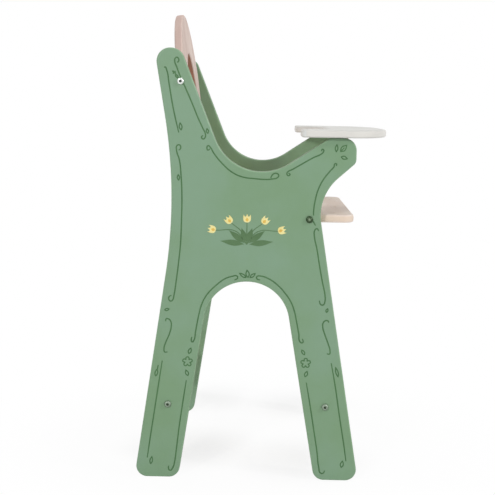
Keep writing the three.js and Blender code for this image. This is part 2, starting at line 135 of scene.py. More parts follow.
def addWorld():
    world = bpy.data.worlds.new("whiteStudio")
    bpy.context.scene.world = world
    world.use_nodes = True
    tree = world.node_tree
    tree.nodes.clear()
    ambient = addNode(tree, "ShaderNodeBackground", {
        "Color": linearColour(*studio["ambientColour"]),
        "Strength": studio["ambientStrength"],
    })
    white = addNode(tree, "ShaderNodeBackground", {"Color": pureWhite, "Strength": 1.0})
    mixed = addNode(tree, "ShaderNodeMixShader",
                    {0: seesBackground(tree), 1: ambient.outputs[0], 2: white.outputs[0]})
    addNode(tree, "ShaderNodeOutputWorld", {"Surface": mixed.outputs[0]})


def addLamps():
    aim = Vector(studio["lampAim"])
    for name, lamp in studio["lamps"].items():
        place = Vector(lamp["place"])
        bpy.ops.object.light_add(type="AREA", location=place * mm)
        softbox = bpy.context.object
        softbox.name = name
        softbox.data.size = lamp["size"] * mm
        softbox.data.energy = lamp["power"]
        softbox.rotation_euler = (aim - place).to_track_quat("-Z", "Y").to_euler()


def addFloor():
    bpy.ops.mesh.primitive_plane_add(size=studio["floorSize"] * mm)
    floor = bpy.context.object
    floor.name = "floor"
    material = bpy.data.materials.new("whiteFloor")
    material.use_nodes = True
    tree = material.node_tree
    tree.nodes.clear()
    lit = addNode(tree, "ShaderNodeBsdfDiffuse", {"Color": linearColour(*studio["floorColour"])})
    glow = addNode(tree, "ShaderNodeEmission", {"Color": pureWhite, "Strength": 1.0})
    place = addNode(tree, "ShaderNodeTexCoord").outputs["Object"]

    def distanceTo(x, y):
        spot = {0: place, 1: (x * mm, y * mm, 0)}
        return addNode(tree, "ShaderNodeVectorMath", spot, operation="DISTANCE").outputs["Value"]

    # Round the spots the floor glows less and reads greyer: painted shade, over which the legs' real
    # shadows show more.
    nearest = distanceTo(*studio["paintedShadeSpots"][0])
    for spot in studio["paintedShadeSpots"][1:]:
        nearest = mathNode(tree, "MINIMUM", nearest, distanceTo(*spot))
    matt = stepNode(tree, nearest, 0.0, studio["spotRadius"] * mm,
                    1 - studio["spotGlow"], 1 - studio["floorGlow"])
    near = stepNode(tree, distanceTo(0, 0), studio["glowStart"] * mm, studio["glowEnd"] * mm, 1.0, 0.0)
    share = mathNode(tree, "SUBTRACT", 1.0, mathNode(tree, "MULTIPLY", matt, near))
    seen = mathNode(tree, "MULTIPLY", share, seesBackground(tree))
    mixed = addNode(tree, "ShaderNodeMixShader", {0: seen, 1: lit.outputs[0], 2: glow.outputs[0]})
    addNode(tree, "ShaderNodeOutputMaterial", {"Surface": mixed.outputs[0]})
    floor.data.materials.append(material)


addCamera()
addWorld()
addLamps()
addFloor()
print("studio: camera, floor and", len(studio["lamps"]), "lamps")

# Shared shader groups


def newGroup(name, inputs, outputs):
    group = bpy.data.node_groups.new(name, "ShaderNodeTree")
    for socketName, (kind, value) in inputs.items():
        socket = group.interface.new_socket(socketName, in_out="INPUT", socket_type=kind)
        if value is not None:
            socket.default_value = value
    for socketName, kind in outputs.items():
        group.interface.new_socket(socketName, in_out="OUTPUT", socket_type=kind)
    return group, group.nodes.new("NodeGroupInput"), group.nodes.new("NodeGroupOutput")


vectorSocket = "NodeSocketVector"
valueSocket = "NodeSocketFloat"


def noiseNode(tree, vector, size, detail, roughness=0.5):
    inputs = {"Vector": vector, "Scale": size, "Detail": detail, "Roughness": roughness}
    return addNode(tree, "ShaderNodeTexNoise", inputs)


# Ranges are cosines of the angle between the surface and the direction that a board's faces look in
edgeBand = {
    "rise": (0.08, 0.4),  # from the wall to the rounding
    "fall": (0.82, 0.985),  # from the rounding to the face
    "wall": (0.15, 0.6),
    "patchDetail": 3.0,
    "patchRange": (0.35, 0.68),  # of the noise that breaks the band up
    "weakestBand": 0.25,
}


# The eased edges of a board, and the wall between them
def edgeBandGroup():
    look = edgeBand
    group, given, result = newGroup(
        "easedEdge",
        {"Vector": (vectorSocket, None), "Face direction": (vectorSocket, (0, 0, 1)),
         "Patch size": (valueSocket, 55.0), "Band strength": (valueSocket, 0.6)},
        {"Edge": valueSocket, "Wall": valueSocket},
    )
    normal = addNode(group, "ShaderNodeTexCoord").outputs["Normal"]
    facing = addNode(group, "ShaderNodeVectorMath", {0: normal, 1: given.outputs["Face direction"]},
                     operation="DOT_PRODUCT")
    facing = mathNode(group, "ABSOLUTE", facing.outputs["Value"])
    band = mathNode(group, "MULTIPLY", stepNode(group, facing, *look["rise"]),
                    stepNode(group, facing, *look["fall"], 1.0, 0.0))
    patches = noiseNode(group, given.outputs["Vector"], given.outputs["Patch size"], look["patchDetail"])
    broken = stepNode(group, patches.outputs["Fac"], *look["patchRange"], look["weakestBand"], 1.0)
    patchyBand = mathNode(group, "MULTIPLY", broken, given.outputs["Band strength"])
    fillInputs(group, result, {
        "Edge": mathNode(group, "MULTIPLY", band, patchyBand, clamp=True),
        "Wall": stepNode(group, facing, *look["wall"], 1.0, 0.0),
    })
    return group


coatNoise = {
    "cloudDetail": 4.0,
    "cloudRoughness": 0.55,
    "cloudRange": (0.32, 0.68),
    "skinDetail": 2.0,
}


# Slow drift in a coat of paint or stain, and the fine skin that a roller leaves
def coatGroup():
    look = coatNoise
    group, given, result = newGroup(
        "coatDrift",
        {"Vector": (vectorSocket, None), "Cloud size": (valueSocket, 14.0),
         "Skin size": (valueSocket, 900.0)},
        {"Cloud": valueSocket, "Skin": valueSocket},
    )
    cloud = noiseNode(group, given.outputs["Vector"], given.outputs["Cloud size"],
                      look["cloudDetail"], look["cloudRoughness"])
    skin = noiseNode(group, given.outputs["Vector"], given.outputs["Skin size"], look["skinDetail"])
    fillInputs(group, result, {
        "Cloud": stepNode(group, cloud.outputs["Fac"], *look["cloudRange"]),
        "Skin": skin.outputs["Fac"],
    })
    return group


# Each stretch is given along and across the grain
woodGrain = {
    "bendStretch": (5.0, 14.0),
    "bendDetail": 2.0,
    "bendShift": 0.055,
    "figureStretch": (0.10, 1.0),
    "figureDetail": 5.0,
    "figureRoughness": 0.6,
    "figureRange": (0.34, 0.66),
    "fibreStretch": (0.03, 1.0),
    "fibreDetail": 3.0,
    "fibreRange": (0.3, 0.7),
    "poreStretch": (0.14, 1.0),
    "poreDetail": 1.0,
    "poreRange": (0.64, 0.74),
}


# Wood whose grain runs along the vector's X
def woodGroup():
    look = woodGrain
    group, given, result = newGroup(
        "woodFigure",
        {"Vector": (vectorSocket, None), "Figure width": (valueSocket, 26.0),
         "Fibre width": (valueSocket, 320.0)},
        {"Figure": valueSocket, "Fibre": valueSocket, "Pores": valueSocket},
    )

    def stretched(name):
        along, across = look[name]
        inputs = {0: given.outputs["Vector"], 1: (along, across, across)}
        return addNode(group, "ShaderNodeVectorMath", inputs, operation="MULTIPLY").outputs["Vector"]

    bend = noiseNode(group, stretched("bendStretch"), 1.0, look["bendDetail"])
    bent = addNode(group, "ShaderNodeVectorMath", {
        0: bend.outputs["Color"],
        1: (0.0, look["bendShift"], look["bendShift"]),
        2: stretched("figureStretch"),
    }, operation="MULTIPLY_ADD")
    figure = noiseNode(group, bent.outputs["Vector"], given.outputs["Figure width"],
                       look["figureDetail"], look["figureRoughness"])
    fibre = noiseNode(group, stretched("fibreStretch"), given.outputs["Fibre width"], look["fibreDetail"])
    pores = noiseNode(group, stretched("poreStretch"), given.outputs["Fibre width"], look["poreDetail"])
    fillInputs(group, result, {
        "Figure": stepNode(group, figure.outputs["Fac"], *look["figureRange"]),
        "Fibre": stepNode(group, fibre.outputs["Fac"], *look["fibreRange"]),
        "Pores": stepNode(group, pores.outputs["Fac"], *look["poreRange"]),
    })
    return group


easedEdge = edgeBandGroup()
coatDrift = coatGroup()
woodFigure = woodGroup()


def newMaterial(name, **fixed):
    material = bpy.data.materials.new(name)
    material.use_nodes = True
    tree = material.node_tree
    shader = tree.nodes["Principled BSDF"]
    for socket, value in fixed.items():
        shader.inputs[socket.replace("_", " ")].default_value = value
    place = addNode(tree, "ShaderNodeTexCoord").outputs["Object"]
    return material, tree, shader, place


def placeGroup(tree, group, inputs):
    return addNode(tree, "ShaderNodeGroup", inputs, node_tree=group)


def placeCoat(tree, vector, look):
    coat = placeGroup(tree, coatDrift, {
        "Vector": vector,
        "Cloud size": look["cloudSize"],
        "Skin size": look["skinSize"],
    })
    return coat.outputs["Cloud"], coat.outputs["Skin"]


def placeEdge(tree, vector, faceDirection, look):
    edge = placeGroup(tree, easedEdge, {
        "Vector": vector,
        "Face direction": faceDirection,
        "Band strength": look["bandStrength"],
    })
    return edge.outputs["Edge"], edge.outputs["Wall"]


# Between two colours by a mask; a colour is a node's output or a colour picker's numbers
def blendColours(tree, mask, first, second):
    pair = [colour if isinstance(colour, bpy.types.NodeSocket) else linearColour(*colour)
            for colour in (first, second)]
    # the Mix node takes its two colours at 6 and 7 and gives their blend at 2
    inputs = {0: mask, 6: pair[0], 7: pair[1]}
    return addNode(tree, "ShaderNodeMix", inputs, data_type="RGBA").outputs[2]


# The roughness goes from the look's smoothest to its dullest with the mask
def setFinish(tree, shader, colour, mask, look):
    roughness = stepNode(tree, mask, 0.0, 1.0, *look["roughness"])
    fillInputs(tree, shader, {"Base Color": colour, "Roughness": roughness})


def bumpFrom(tree, shader, height, depth):
    bump = addNode(tree, "ShaderNodeBump", {"Height": height, "Distance": depth * mm, "Strength": 1.0})
    tree.links.new(bump.outputs["Normal"], shader.inputs["Normal"])


# Finishes

# The sage coat's eased edges take a lighter colour: partly painted highlight, partly rubbed paint.
greenPaint = {
    "colour": (131, 163, 134),
    "cloudColour": (125, 158, 121),
    "wallColour": (113, 137, 106),
    "bandColour": (151, 185, 147),
    "bandStrength": 0.7,
    "cloudSize": 11,
    "skinSize": 850,
    "skinDepth": 0.05,
    "roughness": (0.46, 0.58),
}
# The tray's walls are painted lighter than its top: painted light, for how the lamps fall on its top and
# sides.
whitePaint = {
    "colour": (213, 212, 207),
    "cloudColour": (207, 206, 200),
    "wallColour": (231, 228, 221),
    "bandColour": (238, 234, 226),
    "bandStrength": 0.6,
    "cloudSize": 13,
    "skinSize": 900,
    "skinDepth": 0.045,
    "roughness": (0.4, 0.52),
}


def paintMaterial(name, look, faceDirection):
    material, tree, shader, place = newMaterial(name)
    cloud, skin = placeCoat(tree, place, look)
    edge, wall = placeEdge(tree, place, faceDirection, look)
    colour = blendColours(tree, cloud, look["colour"], look["cloudColour"])
    colour = blendColours(tree, wall, colour, look["wallColour"])
    colour = blendColours(tree, edge, colour, look["bandColour"])
    setFinish(tree, shader, colour, cloud, look)
    bumpFrom(tree, shader, skin, look["skinDepth"])
    return material


stainedWood = {
    "light": (236, 216, 202),
    "dark": (217, 193, 179),
    "pores": (195, 164, 148),
    "edge": (239, 219, 203),
    "wall": (232, 210, 194),
    "fibreShare": 0.3,  # of the dark tone in the fibres
    "poreShare": 0.5,
    "wallShare": 0.7,
    "bandStrength": 0.55,
    "figureWidth": 30,
    "fibreWidth": 420,
    "fibreDepth": 0.05,
    "roughness": (0.55, 0.68),
}


# grainTurn brings the grain's direction to the X that the group reads
def woodMaterial(name, look, faceDirection, grainTurn):
    material, tree, shader, place = newMaterial(name)
    along = addNode(tree, "ShaderNodeMapping", {"Vector": place, "Rotation": grainTurn})
    wood = placeGroup(tree, woodFigure, {
        "Vector": along.outputs["Vector"],
        "Figure width": look["figureWidth"],
        "Fibre width": look["fibreWidth"],
    })
    figure, fibre, pores = [wood.outputs[mask] for mask in ("Figure", "Fibre", "Pores")]
    edge, wall = placeEdge(tree, place, faceDirection, look)
    colour = blendColours(tree, figure, look["light"], look["dark"])
    layers = ((fibre, "fibreShare", "dark"), (pores, "poreShare", "pores"), (wall, "wallShare", "wall"))
    for mask, share, tone in layers:
        part = mathNode(tree, "MULTIPLY", mask, look[share])
        colour = blendColours(tree, part, colour, look[tone])
    colour = blendColours(tree, edge, colour, look["edge"])
    setFinish(tree, shader, colour, figure, look)
    bumpFrom(tree, shader, fibre, look["fibreDepth"])
    return material


# The greens in the steels' colours are painted reflection of the green panels round the bolts.
steels = {
    "bright": {"colour": (236, 240, 236), "cloudColour": (212, 216, 212), "roughness": (0.22, 0.4)},
    # A socket's colour is painted shade in its recess, darker than its head; the bronzed head's socket is
    # painted lighter, a painted highlight.
    "brightSocket": {"colour": (92, 100, 96), "cloudColour": (58, 64, 60), "roughness": (0.5, 0.7)},
    # The crossbar bolts take the bright steel painted darker: painted shade.
    "shadedBright": {"colour": (150, 164, 148), "cloudColour": (130, 144, 128), "roughness": (0.5, 0.62)},
    "shadedBrightSocket": {"colour": (88, 102, 84), "cloudColour": (62, 76, 58), "roughness": (0.5, 0.7)},
    "bronzed": {"colour": (78, 96, 72), "cloudColour": (60, 78, 56), "roughness": (0.42, 0.56)},
    "bronzedSocket": {"colour": (150, 166, 142), "cloudColour": (120, 136, 112), "roughness": (0.4, 0.6)},
}
steelGrain = {
    "stretch": (1.0, 0.12, 1.0),
    "cloudSize": 900.0,
    "skinSize": 3200.0,
    "skinDepth": 0.01,
}


def steelMaterial(name):
    look = steels[name]
    material, tree, shader, place = newMaterial(f"{name}Steel", Metallic=1.0)
    brushed = addNode(tree, "ShaderNodeMapping", {"Vector": place, "Scale": steelGrain["stretch"]})
    cloud, skin = placeCoat(tree, brushed.outputs["Vector"], steelGrain)
    colour = blendColours(tree, cloud, look["colour"], look["cloudColour"])
    setFinish(tree, shader, colour, cloud, look)
    bumpFrom(tree, shader, skin, steelGrain["skinDepth"])
    return material


# Board shapes

arcSag = 0.02  # how far a facet may stray from its arc
widestStep = math.radians(7)
roundingSteps = 5
sharpAngle = math.radians(60)  # edges that turn by more than this are rounded or chamfered
drillSides = 32
roundSides = 48
cutPast = 1  # how far a cutter runs past the face it opens
# degrees between faces from which an edge is shaded sharp
shadeAngles = {"board": 28, "fastener": 35, "posy": 40, "border": 60}


def arcPoints(centre, radius, start, end):
    step = min(widestStep, 2 * math.acos(1 - arcSag / radius))
    count = max(2, math.ceil(abs(end - start) / step))
    angles = [start + (end - start) * index / count for index in range(count + 1)]
    return [(centre[0] + radius * math.cos(angle), centre[1] + radius * math.sin(angle))
            for angle in angles]


# A closed outline from corners (x, y, radius). Two radii that share a short straight give way together.
def roundedOutline(corners):
    rounds = []
    for index, (x, y, radius) in enumerate(corners):
        point = Vector((x, y))
        back = (Vector(corners[index - 1][:2]) - point).normalized()
        ahead = (Vector(corners[(index + 1) % len(corners)][:2]) - point).normalized()
        halfAngle = math.acos(max(-1.0, min(1.0, back.dot(ahead)))) / 2
        rounds.append((point, back, ahead, halfAngle, radius / math.tan(halfAngle)))
    room = []
    for index, here in enumerate(rounds):
        after = rounds[(index + 1) % len(rounds)]
        reach = here[4] + after[4]
        room.append(min(1.0, (here[0] - after[0]).length / reach) if reach > 0 else 1.0)
    outline = []
    for index, (point, back, ahead, halfAngle, _) in enumerate(rounds):
        radius = corners[index][2] * min(room[index], room[index - 1])
        if radius == 0:
            outline.append(tuple(point))
            continue
        centre = point + (back + ahead).normalized() * radius / math.sin(halfAngle)
        turn = 1 if ahead.x * back.y - ahead.y * back.x > 0 else -1
        start = math.atan2(back.x, -back.y) + (math.pi if turn < 0 else 0)
        outline += arcPoints(centre, radius, start, start + turn * (math.pi - 2 * halfAngle))
    return outline


# The upper part of an arch over y, from its right corner arc to its left one
def archPoints(archY, archRadius, cornerY, cornerRadius, cornerStart):
    cornerX = math.sqrt((archRadius - cornerRadius) ** 2 - (cornerY - archY) ** 2)
    meets = math.atan2(cornerY - archY, cornerX)
    right = arcPoints((cornerX, cornerY), cornerRadius, cornerStart, meets)
    top = arcPoints((0, archY), archRadius, meets, math.pi - meets)
    left = [(-x, y) for x, y in reversed(right)]
    return right + top[1:-1] + left


def makeActive(piece):
    bpy.ops.object.select_all(action="DESELECT")
    piece.select_set(True)
    bpy.context.view_layer.objects.active = piece


def removePiece(piece):
    makeActive(piece)
    bpy.ops.object.delete()


def applyModifier(piece, kind, **settings):
    makeActive(piece)
    modifier = piece.modifiers.new(kind.lower(), kind)
    for name, value in settings.items():
        setattr(modifier, name, value)
    bpy.ops.object.modifier_apply(modifier=modifier.name)


def faceOutwards(piece):
    makeActive(piece)
    bpy.ops.object.mode_set(mode="EDIT")
    bpy.ops.mesh.select_all(action="SELECT")
    bpy.ops.mesh.normals_make_consistent(inside=False)
    bpy.ops.object.mode_set(mode="OBJECT")


# A flat plate in X and Y, from z = 0 up to its thickness
def plate(name, outline, thickness):
    bpy.ops.object.select_all(action="DESELECT")
    bpy.ops.mesh.primitive_circle_add(vertices=len(outline), fill_type="NGON")
    piece = bpy.context.object
    piece.name = name
    for vertex, (x, y) in zip(piece.data.vertices, outline):
        vertex.co = (x * mm, y * mm, 0)
    bpy.ops.object.mode_set(mode="EDIT")
    bpy.ops.mesh.select_all(action="SELECT")
    bpy.ops.mesh.extrude_region_move(TRANSFORM_OT_translate={"value": (0, 0, thickness * mm)})
    bpy.ops.object.mode_set(mode="OBJECT")
    faceOutwards(piece)
    return piece


def subtract(piece, cutter):
    applyModifier(piece, "BOOLEAN", object=cutter, operation="DIFFERENCE", solver="EXACT")
    removePiece(cutter)


def joined(pieces, name):
    makeActive(pieces[0])
    for piece in pieces[1:]:
        piece.select_set(True)
    if len(pieces) > 1:
        bpy.ops.object.join()
    bpy.context.object.name = name
    return bpy.context.object


# Rounds a board's long edges
def easeEdges(piece, width):
    applyModifier(piece, "BEVEL", width=width * mm, segments=roundingSteps, limit_method="ANGLE",
                  angle_limit=sharpAngle, use_clamp_overlap=False)


# Round holes, each (diameter, start, end)
def drill(piece, holes):
    cutters = []
    for diameter, start, end in holes:
        run = Vector(end) - Vector(start)
        middle = (Vector(end) + Vector(start)) / 2
        bpy.ops.mesh.primitive_cylinder_add(
            vertices=drillSides, radius=diameter / 2 * mm, depth=run.length * mm,
            location=middle * mm, rotation=run.to_track_quat("Z", "Y").to_euler())
        cutters.append(bpy.context.object)
    subtract(piece, joined(cutters, "drills"))


# A second material for the faces that a test picks
def twoMaterials(piece, first, second, picks):
    piece.data.materials.append(first)
    piece.data.materials.append(second)
    for face in piece.data.polygons:
        if picks(face):
            face.material_index = 1


def placeMesh(piece, matrix):
    makeActive(piece)
    piece.matrix_world = matrix @ piece.matrix_world
    bpy.ops.object.transform_apply(location=True, rotation=True, scale=True)


def smoothShading(piece, angle=shadeAngles["board"]):
    makeActive(piece)
    bpy.ops.object.shade_smooth_by_angle(angle=math.radians(angle))
    applyModifier(piece, "WEIGHTED_NORMAL", keep_sharp=True)


def finishPiece(piece, material, replaced):
    if material:
        piece.data.materials.clear()
        piece.data.materials.append(material)
    piece.data.name = piece.name
    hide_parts(*replaced)
    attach(piece, "root")


def shift(x=0, y=0, z=0):
    return Matrix.Translation(Vector((x, y, z)) * mm)


def turn(angle, axis):
    return Matrix.Rotation(angle, 4, axis)


# A plate's X goes across the chair, its Y goes up and its thickness goes forwards
acrossUpright = turn(quarterTurn, "Z") @ turn(quarterTurn, "X")

sides = {"right": -1, "left": 1}

# Fastening places that several boards share, as (x, z)
fastenings = {
    "bolts": {
        "backrest": (-89.388, 426.6),
        "seat": (47.638, 284.75),
        "rear_crossbar": (-100.452, 82),
        "front_crossbar": (69.189, 82),
    },
    "dowels": {
        "backrest": [(-74.441, 314.213)],
        "seat": [(-58.375, 284.75)],
        "rear_crossbar": [(-100.452, 94), (-100.452, 70)],
        "front_crossbar": [(69.189, 94), (69.189, 70)],
    },
    "trayDowels": [71.994, 84.12],  # x alone
    "boltHole": 4.6,
    "dowelHole": 5.6,
    "nutHole": 8.6,
    "nutY": 100.85,
    "nutHoleDepth": 7.7,
    "boltHoleEnd": 93.55,  # y where a hole in a board's end stops
    "dowelHoleEnd": 104.55,
}

# Side panels

sidePanel = {
    "outerY": 130.85,
    "innerY": 118.85,
    "ease": 1.7,
    "dowelHoleEnd": 127.15,
    "armTop": 370.5,
    "armDowelEnd": 358.2,
    # corners (x, z, radius) from the back of the rear foot, round by the front, to the waist of the back
    "corners": [
        (-136.27, 0.00, 12.0), (-88.67, 0.00, 12.0), (-20.51, 460.52, 45.9), (59.30, 0.00, 12.0),
        (106.90, 0.00, 12.0), (55.54, 309.41, 52.0), (95.40, 345.00, 8.0), (95.40, 370.50, 13.0),
        (67.20, 370.50, 8.0), (-28.69, 307.04, 52.8), (-89.96, 461.00, 14.0), (-117.16, 461.00, 14.0),
        (-91.68, 307.49, 540.0),
    ],
}


def panelBoard(sideName, side, material):
    look = sidePanel
    thickness = look["outerY"] - look["innerY"]
    board = plate(f"{sideName}_panel_board", roundedOutline(look["corners"]), thickness)
    easeEdges(board, look["ease"])
    placeMesh(board, shift(y=look["outerY"] if side > 0 else -look["innerY"]) @ turn(quarterTurn, "X"))
    pastOuter = side * (look["outerY"] + cutPast)
    pastInner = side * (look["innerY"] - cutPast)
    dowelEnd = side * look["dowelHoleEnd"]
    armMiddle = side * (look["outerY"] + look["innerY"]) / 2
    boltHole, dowelHole = fastenings["boltHole"], fastenings["dowelHole"]
    holes = [(boltHole, (x, pastOuter, z), (x, pastInner, z)) for x, z in fastenings["bolts"].values()]
    holes += [(dowelHole, (x, pastInner, z), (x, dowelEnd, z))
              for places in fastenings["dowels"].values() for x, z in places]
    holes += [(dowelHole, (x, armMiddle, look["armDowelEnd"]), (x, armMiddle, look["armTop"] + cutPast))
              for x in fastenings["trayDowels"]]
    drill(board, holes)
    smoothShading(board)
    finishPiece(board, material, [f"{sideName}_side_panel"])


panelPaint = paintMaterial("sagePaint", greenPaint, (0, 1, 0))
for sideName, side in sides.items():
    panelBoard(sideName, side, panelPaint)
print("side panels")

# Seat

seat = {
    "corners": [(-82.37, -118.55, 4), (96, -118.55, 12), (96, 118.55, 12), (-82.37, 118.55, 4)],
    "underside": 280.5,
    "thickness": 8.5,
    "ease": 2.4,
}


# Holes in both ends of a board: one for its bolt and one for each dowel
def endHoles(name):
    kinds = [(fastenings["boltHole"], fastenings["boltHoleEnd"], [fastenings["bolts"][name]]),
             (fastenings["dowelHole"], fastenings["dowelHoleEnd"], fastenings["dowels"][name])]
    holes = []
    for side in sides.values():
        past = side * (sidePanel["innerY"] + cutPast)
        for diameter, end, places in kinds:
            holes += [(diameter, (x, past, z), (x, side * end, z)) for x, z in places]
    return holes


# Holes for the barrel nuts near both ends of a board, inwards from its face at x and z
def nutHoles(x, z, inwardsX=0, inwardsZ=0):
    depth = fastenings["nutHoleDepth"]
    holes = []
    for side in sides.values():
        y = side * fastenings["nutY"]
        start = (x - inwardsX * cutPast, y, z - inwardsZ * cutPast)
        end = (x + inwardsX * depth, y, z + inwardsZ * depth)
        holes.append((fastenings["nutHole"], start, end))
    return holes


def seatBoard(material):
    look = seat
    board = plate("seat_board", roundedOutline(look["corners"]), look["thickness"])
    easeEdges(board, look["ease"])
    placeMesh(board, shift(z=look["underside"]))
    boltX = fastenings["bolts"]["seat"][0]
    drill(board, endHoles("seat") + nutHoles(boltX, look["underside"], inwardsZ=1))
    smoothShading(board)
    finishPiece(board, material, ["seat"])


# The seat's stain is lighter than the other boards' to make up for the tray's shade on its top: painted
# light.
seatStainPaintedLight = dict(stainedWood, light=(255, 241, 231), dark=(249, 231, 219), pores=(232, 206, 191),
                 edge=(240, 217, 196), wall=(234, 211, 187))
seatBoard(woodMaterial("seatWoodPaintedLight", seatStainPaintedLight, (0, 0, 1), (0, 0, quarterTurn)))
print("seat")

# Backrest, drawn flat: x across the chair and y up the board from seat height

backrest = {
    "frontX": -66.8,  # at seat height
    "seatHeight": 289,
    "lean": 0.132224,
    "thickness": 8.5,
    "ease": 1.8,
    "halfWidth": 118.55,
    "top": 217.599,
    "archRadius": 140.351,
    "cornerRadius": 8,
    "footRadius": 4,
    "foot": 1.433,
    "boltHeight": 139.377,
    "dowelHeight": 26,
    "openingRadius": 80.05,
    "openingTop": 173.599,
    "openingCornerY": 128.599,
    "openingCornerRadius": 18,
    "openingMargin": 1,  # round the opening, for faces that count as its wall
    "openingDrop": 20,  # and below its corners' middles
    "wallFacing": 0.35,  # faces turned less than this to the front or rear are walls
}
leaning = shift(x=backrest["frontX"], z=backrest["seatHeight"]) @ turn(-backrest["lean"], "Y")


def backrestBoard(material, openingShadedMaterial):
    look = backrest
    archY = look["top"] - look["archRadius"]
    cornerX = look["halfWidth"] - look["cornerRadius"]
    cornerY = archY + math.sqrt((look["archRadius"] - look["cornerRadius"]) ** 2 - cornerX ** 2)
    footX = look["halfWidth"] - look["footRadius"]
    footY = look["foot"] + look["footRadius"]
    outline = archPoints(archY, look["archRadius"], cornerY, look["cornerRadius"], 0)
    outline += arcPoints((-footX, footY), look["footRadius"], math.pi, 1.5 * math.pi)
    outline += arcPoints((footX, footY), look["footRadius"], 1.5 * math.pi, 2 * math.pi)
    board = plate("backrest_board", outline, look["thickness"])
    openingY = look["openingTop"] - look["openingRadius"]
    opening = archPoints(openingY, look["openingRadius"], look["openingCornerY"],
                         look["openingCornerRadius"], -quarterTurn)
    cutter = plate("openingCutter", opening, look["thickness"] + 2 * cutPast)
    placeMesh(cutter, shift(z=-cutPast))
    subtract(board, cutter)
    easeEdges(board, look["ease"])
    middle = look["thickness"] / 2
    kinds = [(fastenings["boltHole"], fastenings["boltHoleEnd"], look["boltHeight"]),
             (fastenings["dowelHole"], fastenings["dowelHoleEnd"], look["dowelHeight"])]
    holes = []
    for side in sides.values():
        past = side * (look["halfWidth"] + cutPast)
        holes += [(diameter, (past, height, middle), (side * end, height, middle))
                  for diameter, end, height in kinds]
        nutX = side * fastenings["nutY"]
        holes.append((fastenings["nutHole"], (nutX, look["boltHeight"], -cutPast),
                      (nutX, look["boltHeight"], fastenings["nutHoleDepth"])))
    drill(board, holes)
    smoothShading(board)

    def onOpeningWall(face):
        x, y = face.center.x / mm, face.center.y / mm
        near = math.hypot(x, y - openingY) < look["openingRadius"] + look["openingMargin"]
        above = y > look["openingCornerY"] - look["openingDrop"]
        return abs(face.normal.z) < look["wallFacing"] and near and above

    twoMaterials(board, material, openingShadedMaterial, onOpeningWall)
    placeMesh(board, leaning @ shift(x=-look["thickness"]) @ acrossUpright)
    finishPiece(board, None, ["backrest"])


# The opening's wall is stained a dark red-brown: partly the cut wood's own tone, partly painted shade
# deep in the opening.
openingShadedWood = dict(stainedWood, light=(172, 122, 98), dark=(148, 98, 76), pores=(120, 78, 60),
                   edge=(184, 138, 112), wall=(160, 110, 87))
leanDirection = (math.cos(backrest["lean"]), 0, math.sin(backrest["lean"]))
upTheBoard = (0, quarterTurn - backrest["lean"], 0)
backrestStain = dict(stainedWood, light=(228, 209, 198), dark=(210, 187, 176), pores=(186, 157, 143),
                     edge=(204, 177, 165), wall=(196, 168, 157))
backrestBoard(woodMaterial("backrestWood", backrestStain, leanDirection, upTheBoard),
              woodMaterial("openingWallShaded", openingShadedWood, leanDirection, upTheBoard))
print("backrest")

# Tray

tray = {
    "halfWidth": 139,
    "frontX": 134.4,
    "rearX": 37.5,
    "underside": 370.8,
    "thickness": 8,
    "ease": 2.0,
    "frontFlat": 76,
    "frontCornerLength": 45,
    "cornerSteps": 22,
    "earLength": 46,
    "earRadius": 7,
    "cutDepth": 33,
    "cutTaper": 26,
    "cutRadius": 30,
    "cutMouthRadius": 12,
    "dowelHoleEnd": 376.8,
    "rearFacing": -0.3,  # below this X of their direction, faces look back at the doll
}


def trayBoard(material, rearLitMaterial):
    look = tray
    flatEnd = look["frontFlat"] / 2
    half = []
    for index in range(look["cornerSteps"] + 1):
        angle = quarterTurn * index / look["cornerSteps"]
        half.append((look["frontX"] - look["frontCornerLength"] * (1 - math.cos(angle)),
                     flatEnd + (look["halfWidth"] - flatEnd) * math.sin(angle), 0))
    mouth = look["halfWidth"] - look["earLength"]
    half += [
        (look["rearX"], look["halfWidth"], look["earRadius"]),
        (look["rearX"], mouth, look["cutMouthRadius"]),
        (look["rearX"] + look["cutDepth"], mouth - look["cutTaper"], look["cutRadius"]),
    ]
    other = [(x, -y, radius) for x, y, radius in reversed(half)]
    board = plate("tray_board", roundedOutline(half + other), look["thickness"])
    easeEdges(board, look["ease"])
    placeMesh(board, shift(z=look["underside"]))
    armMiddle = (sidePanel["outerY"] + sidePanel["innerY"]) / 2
    low, high = look["underside"] - cutPast, look["dowelHoleEnd"]
    drill(board, [(fastenings["dowelHole"], (x, side * armMiddle, low), (x, side * armMiddle, high))
                  for x in fastenings["trayDowels"] for side in sides.values()])
    smoothShading(board)
    twoMaterials(board, material, rearLitMaterial, lambda face: face.normal.x < look["rearFacing"])
    finishPiece(board, None, ["tray"])


# Less light reaches the faces that look back at the doll, so they are painted lighter and a little
# cooler: painted light
rearPaintedLight = dict(whitePaint, wallColour=(236, 236, 233), bandColour=(240, 240, 237))
trayBoard(paintMaterial("creamPaint", whitePaint, (0, 0, 1)),
          paintMaterial("creamPaintRearLit", rearPaintedLight, (0, 0, 1)))
print("tray")

# Crossbars

crossbars = {
    "halfWidth": 118.55,
    "halfHeight": 20,
    "cornerRadius": 3,
    "thickness": 8.5,
    "ease": 1.6,
    # the face its nuts go in from: 1 ahead, -1 behind
    "nutSide": {"rear_crossbar": 1, "front_crossbar": -1},
}


